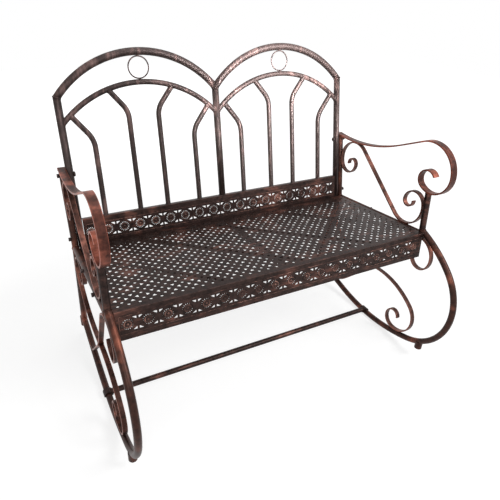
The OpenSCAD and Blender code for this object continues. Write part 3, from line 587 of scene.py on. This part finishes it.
# Half the angle that an arch spans, and how far its mitre with the post turns from level
HALF = math.asin(BAY_MID / ARCH_R)
CORNER_TURN = (math.pi / 2 - HALF) / 2
POST_TOP = ARCH_LOW + ARCH_R * math.cos(HALF)
ROUND = [math.tau * k / 32 for k in range(32)]


def ring_at(x, z, slope, stretch=1.0):
    """Points round a place in the back's plane. The slope is the direction that the ring lies in."""
    reach = [TUBE_R * stretch * math.cos(t) for t in ROUND]
    return [(x + r * math.cos(slope), TUBE_R * math.sin(t), z + r * math.sin(slope))
            for r, t in zip(reach, ROUND)]


def mirrored(rings, side):
    return [[(side * x, y, z) for x, y, z in ring] for ring in rings]


def on_back(ring):
    return [back_plane @ Vector(p) for p in ring]


def tube_of(name, rings, node):
    """A closed tube through rings of points, which stands for its solid."""
    shape = bmesh.new()
    rows = [[shape.verts.new(p) for p in on_back(ring)] for ring in rings]
    for near, far in zip(rows, rows[1:]):
        for i in range(len(near)):
            shape.faces.new((near[i - 1], near[i], far[i], far[i - 1])).smooth = True
    shape.faces.new(rows[0])
    shape.faces.new(rows[-1])
    bmesh.ops.recalc_face_normals(shape, faces=shape.faces)
    mesh = bpy.data.meshes.new(name)
    shape.to_mesh(mesh)
    shape.free()
    mesh.materials.append(back_paint)
    piece = bpy.data.objects.new(name, mesh)
    bpy.context.scene.collection.objects.link(piece)
    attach(piece, "root")
    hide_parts(node)
    print(name, len(mesh.polygons), "faces")


print("mitre of", round(math.degrees(CORNER_TURN), 1), "degrees,", round(POST_TOP / MM, 1), "mm up")

# %% Outer posts and top arches
ARCH_RINGS = 30
# The plain rings of an arch stay this far from its two mitres
FROM_VALLEY, FROM_CORNER = math.radians(5), math.radians(3)
corner_ring = ring_at(POST_X, POST_TOP, CORNER_TURN, 1 / math.cos(CORNER_TURN))
valley_ring = ring_at(GAP / 2, POST_TOP, math.pi / 2, 1 / math.cos(HALF))
arch_rings = [ring_at(BAY_MID + ARCH_R * math.sin(a), ARCH_LOW + ARCH_R * math.cos(a), math.pi / 2 - a)
              for a in np.linspace(FROM_VALLEY - HALF, HALF - FROM_CORNER, ARCH_RINGS)]
outer_post = [ring_at(POST_X, PANEL_LOW * MM, 0), [(x, y, z - GAP) for x, y, z in corner_ring]]
top_arch = [valley_ring] + arch_rings + [corner_ring]
for side, tag in ((-1, "left"), (1, "right")):
    tube_of(f"mitred_outer_post_{tag}", mirrored(outer_post, side), f"back_post_{tag}")
    tube_of(f"mitred_top_arch_{tag}", mirrored(top_arch, side), f"top_arch_{tag}")


# %% The middle post
def cope(x, y):
    """Height of the arches' underside above a point of the middle post's wall."""
    rise = math.sqrt(1 - ((BAY_MID - abs(x)) / ARCH_R) ** 2)
    return ARCH_LOW + ARCH_R * rise - math.sqrt((TUBE_R + GAP) ** 2 - y ** 2) / rise


foot = ring_at(0, PANEL_HIGH * MM + GAP, 0)
cope_ring = [(x, y, cope(x, y)) for x, y, z in foot]
tube_of("coped_middle_post", [foot, cope_ring], "back_post_centre")

# %% [markdown]
# ## Weld beads
# Each tube end is cut to the round of the tube it meets and welded all round, and each scroll is
# welded on both sides of the place where it touches. A weld is a bead with even ripples. Its path
# could be worked out for every joint, but the solids already hold it: the points of one piece that
# lie within a fraction of a millimetre of its neighbour are the end of that piece.

# %% Find where two solids meet
TOUCH = 0.3 * MM
PATH_STEPS = 30
FEWEST = 6
# A point counts as part of the edge where it lies this share of the widest radius out
EDGE_SHARE = 0.55


def tree_and_points(name):
    mesh = solids[name].data
    spots = [v.co.copy() for v in mesh.vertices]
    return BVHTree.FromPolygons(spots, [p.vertices[:] for p in mesh.polygons]), spots


shape_of = {name: tree_and_points(name) for name in solids}


def end_path(piece, neighbour):
    """The outer edge of a piece's end, as a path round it, where it meets its neighbour."""
    search = shape_of[neighbour][0]
    near = [p for p in shape_of[piece][1] if search.find_nearest(p, TOUCH)[0]]
    if len(near) < FEWEST:
        print("no end of", piece, "at", neighbour)
        return []
    centre = sum(near, Vector()) / len(near)
    # The two directions in which the end is widest span the plane that the path turns in
    over, across = np.linalg.svd(np.array([p - centre for p in near]), full_matrices=False)[2][:2]
    ring = {}
    for p in near:
        a, b = (p - centre).dot(Vector(across)), (p - centre).dot(Vector(over))
        step = round(math.atan2(b, a) / math.tau * PATH_STEPS) % PATH_STEPS
        if step not in ring or math.hypot(a, b) > ring[step][0]:
            ring[step] = (math.hypot(a, b), p)
    widest = max(r for r, p in ring.values())
    kept = {s: p for s, (r, p) in ring.items() if r > EDGE_SHARE * widest}
    order = sorted(kept)
    # The path starts behind its widest gap, and is closed where even that gap is small
    gap = max(range(len(order)), key=lambda i: (order[i] - order[i - 1]) % PATH_STEPS)
    closed = (order[gap] - order[gap - 1]) % PATH_STEPS <= PATH_STEPS // 5
    order = order[gap:] + order[:gap]
    return [kept[s] for s in order] + ([kept[order[0]]] if closed else [])


print("ring of slat_2 at the panel:", len(end_path("slat_2", "back_panel")), "points")

# %% [markdown]
# A flat bar only touches a round tube along a short line, so no point of it may be near enough. The
# faces of the bar are sampled instead, and the closest place and the tube's outward direction there
# give the two short beads beside the bar. A ring that touches an arch gets a small round bead.

# %% Find where a bar or a ring touches a tube
REACH = 4 * MM
SAMPLES = 4
# The bars' two edges lie at these distances from the bench's middle. A bead sinks below the tube's
# crown there, because the tube is round
BAR_EDGES = ((504.6 * MM, 1.3 * MM), (518.4 * MM, 2.4 * MM))
BEAD_ALONG = (-10, -5, 0, 5, 10)
SPOT_RADIUS = 2.2 * MM


def contact(piece, neighbour):
    search = shape_of[neighbour][0]
    spots = shape_of[piece][1]
    found = []
    for face in solids[piece].data.polygons:
        a, b, c = (spots[i] for i in face.vertices)
        for i in range(SAMPLES + 1):
            for j in range(SAMPLES + 1 - i):
                sample = a + (b - a) * i / SAMPLES + (c - a) * j / SAMPLES
                hit, out, _, away = search.find_nearest(sample, REACH)
                if hit:
                    found.append((away, hit, out))
    return min(found, key=lambda f: f[0])[1:]


def beside_bar(piece, neighbour):
    place, out = contact(piece, neighbour)
    out = Vector((0, out.y, out.z)).normalized()
    along = out.cross(Vector((1, 0, 0)))
    side = math.copysign(1, place.x)
    starts = [Vector((side * x, place.y, place.z)) - out * sunk for x, sunk in BAR_EDGES]
    return [[start + along * t * MM for t in BEAD_ALONG] for start in starts]


def closed_path(ring):
    return ring + ring[:1]


def round_spot(piece, neighbour):
    place, out = contact(piece, neighbour)
    across = out.orthogonal().normalized()
    over = out.cross(across)
    turns = [math.tau * k / 10 for k in range(10)]
    return closed_path([place + (across * math.cos(a) + over * math.sin(a)) * SPOT_RADIUS for a in turns])


touching = contact("side_scroll_left", "arm_post_left")[0]
print("side scroll touches the arm post at", [round(v, 3) for v in touching])

# %% Paths of all the welds
back_welds, side_welds = [], {"left": [], "right": []}
for k in range(1, 9):
    arch = "inner_arch_left" if k < 5 else "inner_arch_right"
    back_welds += [end_path(f"slat_{k}", arch), end_path(f"slat_{k}", "back_panel")]
ends = (("rear_leg", "rocker"), ("rear_leg", "armrest"), ("arm_post", "armrest"), ("rocker", "arm_post"),
        ("seat_side_rail", "arm_post"), ("seat_side_rail", "rear_leg"), ("bow_scroll", "long_scroll"),
        ("tail_brace", "long_scroll"))
bars = {"side_scroll": ("arm_post", "seat_side_rail", "rear_leg"),
        "long_scroll": ("rocker", "seat_side_rail", "rear_leg"),
        "bow_scroll": ("seat_side_rail",), "tail_brace": ("rocker",)}
for turned, side in ((-1, "left"), (1, "right")):
    inner_arch, arch_ring = f"inner_arch_{side}", f"arch_ring_{side}"
    back_welds += [end_path(inner_arch, f"back_post_{side}"), end_path(inner_arch, "back_post_centre"),
                   closed_path(on_back(mirrored([corner_ring], turned)[0])),
                   round_spot(arch_ring, f"top_arch_{side}"), round_spot(arch_ring, inner_arch)]
    welds = side_welds[side]
    welds += [end_path(f"{piece}_{side}", f"{neighbour}_{side}") for piece, neighbour in ends]
    for bar, tubes in bars.items():
        for tube in tubes:
            welds += beside_bar(f"{bar}_{side}", f"{tube}_{side}")
    welds.append(end_path("stretcher", f"stretcher_saddle_{side}"))
back_welds.append(end_path("back_post_centre", "back_panel"))
back_welds += [closed_path(on_back(valley_ring)), closed_path(on_back(cope_ring))]
print(len(back_welds), "welds on the back,", {side: len(welds) for side, welds in side_welds.items()})

# %% Tree of a weld bead
BEAD_STEP = 1 * MM
UNEVEN = 9
bead_tree, size_of = new_tree("weld_bead", {
    "Radius": float, "Ripple": float, "Seed": float, "Paint": bpy.types.Material})
line = add(bead_tree, "GeometryNodeMeshToCurve", {"Mesh": size_of["Geometry"]})
dense = add(bead_tree, "GeometryNodeResampleCurve", {"Curve": line, "Length": BEAD_STEP}, mode="LENGTH")
passed = add(bead_tree, "GeometryNodeSplineParameter").outputs["Length"]
turns = add(bead_tree, "ShaderNodeMath", {0: passed, 1: size_of["Ripple"]}, operation="DIVIDE")
angle = add(bead_tree, "ShaderNodeMath", {0: turns, 1: math.tau}, operation="MULTIPLY")
wave = add(bead_tree, "ShaderNodeMath", {0: angle}, operation="SINE")
uneven = add(bead_tree, "ShaderNodeTexNoise", {"W": size_of["Seed"], "Scale": per(UNEVEN)},
             noise_dimensions="4D")
# The bead's width changes by a tenth with each ripple, and slowly with the noise
swell = add(bead_tree, "ShaderNodeMath", {0: wave, 1: 0.1, 2: 0.6}, operation="MULTIPLY_ADD")
scale = add(bead_tree, "ShaderNodeMath", {0: uneven, 1: 0.7, 2: swell}, operation="MULTIPLY_ADD")
section = add(bead_tree, "GeometryNodeCurvePrimitiveCircle", {
    "Resolution": 7, "Radius": size_of["Radius"]})
bead = add(bead_tree, "GeometryNodeCurveToMesh", {
    "Curve": dense, "Profile Curve": section, "Scale": scale, "Fill Caps": True})
close_tree(bead_tree, bead, size_of["Paint"])


# %% Lay the beads
def path_mesh(name, paths):
    spots, links = [], []
    for path in filter(None, paths):
        closed = path[0] == path[-1]
        first = len(spots)
        spots += path[:-1] if closed else path
        links += [(i, i + 1) for i in range(first, len(spots) - 1)]
        links += [(len(spots) - 1, first)] if closed else []
    mesh = bpy.data.meshes.new(name)
    mesh.from_pydata(spots, links, [])
    return mesh


bead_sizes = {"Ripple": 2.6 * MM, "Seed": 3.0}
grow("weld_beads_back", bead_tree, bead_sizes | {"Radius": 1.5 * MM, "Paint": back_paint},
     start=path_mesh("back_paths", back_welds))
for side, welds in side_welds.items():
    grow(f"weld_beads_{side}", bead_tree, bead_sizes | {"Radius": 1.9 * MM, "Paint": tube_paint},
         start=path_mesh(f"{side}_paths", welds))

# %% [markdown]
# ## The camera
# The photograph was taken from the front left, above the top of the backrest, looking down. Its
# printed width, depth and height fix where the camera stood, so place, direction and roll are written
# down as numbers. The picture was cropped off centre, which the lens shift repeats.

# %% Camera
YAW, PITCH, ROLL = 0.48465389, -0.52100769, 0.03520052
CAMERA_AT = (-0.66410, -1.08307, 1.13965)
SENSOR, LENS = 36, 33.736
SHIFT = (0.0359, -0.0048)
ahead = Vector((math.sin(YAW) * math.cos(PITCH), math.cos(YAW) * math.cos(PITCH), math.sin(PITCH)))
level = Vector((math.cos(YAW), -math.sin(YAW), 0))
upright = level.cross(ahead)
right = level * math.cos(ROLL) + upright * math.sin(ROLL)
above = upright * math.cos(ROLL) - level * math.sin(ROLL)
camera = bpy.data.objects.new("camera", bpy.data.cameras.new("camera"))
bpy.context.scene.collection.objects.link(camera)
turn = Matrix((right, above, -ahead)).transposed().to_4x4()
camera.matrix_world = Matrix.Translation(CAMERA_AT) @ turn
camera.data.sensor_width = SENSOR
camera.data.lens = LENS
camera.data.shift_x, camera.data.shift_y = SHIFT
bpy.context.scene.camera = camera
print("camera height", round(camera.location.z, 3))

# %% [markdown]
# ## The studio
# A pale floor takes a soft shadow. The picture's ground is white, and white comes from the colour of
# the floor and the world and not from more lamps: where the camera or a reflection looks past the
# bench it meets white of strength 1, while the light that falls on the steel stays at a plain level.
# Three soft lamps light the bench from the right, the left and above. A fourth has a grid, which
# keeps its light in a narrow cone, and lifts the right bay of the back as the photograph shows it.

# %% Lamps
bpy.context.scene.view_settings.view_transform = "Standard"
BENCH_MIDDLE = (0, 0, 0.45)
RIGHT_BAY = (0.25, 0.42, 0.9)
GRID_CONE = math.radians(20)


def lamp(name, place, target, size, watts):
    light = bpy.data.lights.new(name, "AREA")
    light.shape = "DISK"
    light.size = size
    light.energy = watts
    made = bpy.data.objects.new(name, light)
    towards = (Vector(target) - Vector(place)).to_track_quat("-Z", "Y")
    made.matrix_world = Matrix.Translation(place) @ towards.to_matrix().to_4x4()
    bpy.context.scene.collection.objects.link(made)
    print(name, watts, "watts")
    return light


lamp("key_softbox", (1.3, -1.7, 2.1), BENCH_MIDDLE, 1.1, 46)
lamp("fill_softbox", (-1.5, -2.2, 1.9), BENCH_MIDDLE, 1.2, 22)
lamp("top_softbox", (0.3, 0.2, 2.9), BENCH_MIDDLE, 1.6, 24)
lamp("back_softbox", (0.1, -1.7, 1.45), RIGHT_BAY, 0.5, 10.5).spread = GRID_CONE


# %% White world
def seen_rays(tree):
    """1 for the camera's rays, and for those that go on from a shiny piece or through glass."""
    rays = add(tree, "ShaderNodeLightPath").outputs
    seen = add(tree, "ShaderNodeMath", {
        0: rays["Is Camera Ray"], 1: rays["Is Glossy Ray"]}, operation="MAXIMUM")
    return add(tree, "ShaderNodeMath", {0: seen, 1: rays["Is Transmission Ray"]}, operation="MAXIMUM")


WORLD_LEVEL = 0.36
world = bpy.data.worlds.new("studio")
world.use_nodes = True
bpy.context.scene.world = world
tree = world.node_tree
tree.nodes.clear()
strength = add(tree, "ShaderNodeMapRange", {
    "Value": seen_rays(tree), "To Min": WORLD_LEVEL, "To Max": 1.0})
sky = add(tree, "ShaderNodeBackground", {"Color": linear("#ffffff"), "Strength": strength})
add(tree, "ShaderNodeOutputWorld", {0: sky})
print("the world lights the bench at", WORLD_LEVEL, "and is seen at 1")

# %% Pale floor
FLOOR_HALF = 6.0
# The floor's own white grows to full between these two distances from the bench's middle
NEAR, FAR, NEAR_LEVEL = 1.0, 2.6, 0.74
floor_mesh = bpy.data.meshes.new("floor")
corners = [(x * FLOOR_HALF, y * FLOOR_HALF, 0) for x, y in ((-1, -1), (1, -1), (1, 1), (-1, 1))]
floor_mesh.from_pydata(corners, [], [(0, 1, 2, 3)])
floor = bpy.data.objects.new("floor", floor_mesh)
bpy.context.scene.collection.objects.link(floor)
pale = bpy.data.materials.new("pale_studio_floor")
pale.use_nodes = True
tree = pale.node_tree
tree.nodes.clear()
place = add(tree, "ShaderNodeTexCoord").outputs["Object"]
away = add(tree, "ShaderNodeVectorMath", {0: place}, operation="LENGTH").outputs["Value"]
fade = add(tree, "ShaderNodeMapRange", {
    "Value": away, "From Min": NEAR, "From Max": FAR, "To Min": NEAR_LEVEL, "To Max": 1.0})
shown = add(tree, "ShaderNodeMath", {0: seen_rays(tree), 1: fade}, operation="MULTIPLY")
matt = add(tree, "ShaderNodeBsdfDiffuse", {"Color": linear("#9e9e9e")})
glow = add(tree, "ShaderNodeEmission", {"Color": linear("#ffffff"), "Strength": shown})
paper = add(tree, "ShaderNodeAddShader", {0: matt, 1: glow})
add(tree, "ShaderNodeOutputMaterial", {0: paper})
floor_mesh.materials.append(pale)
print("floor", 2 * FLOOR_HALF, "m wide")
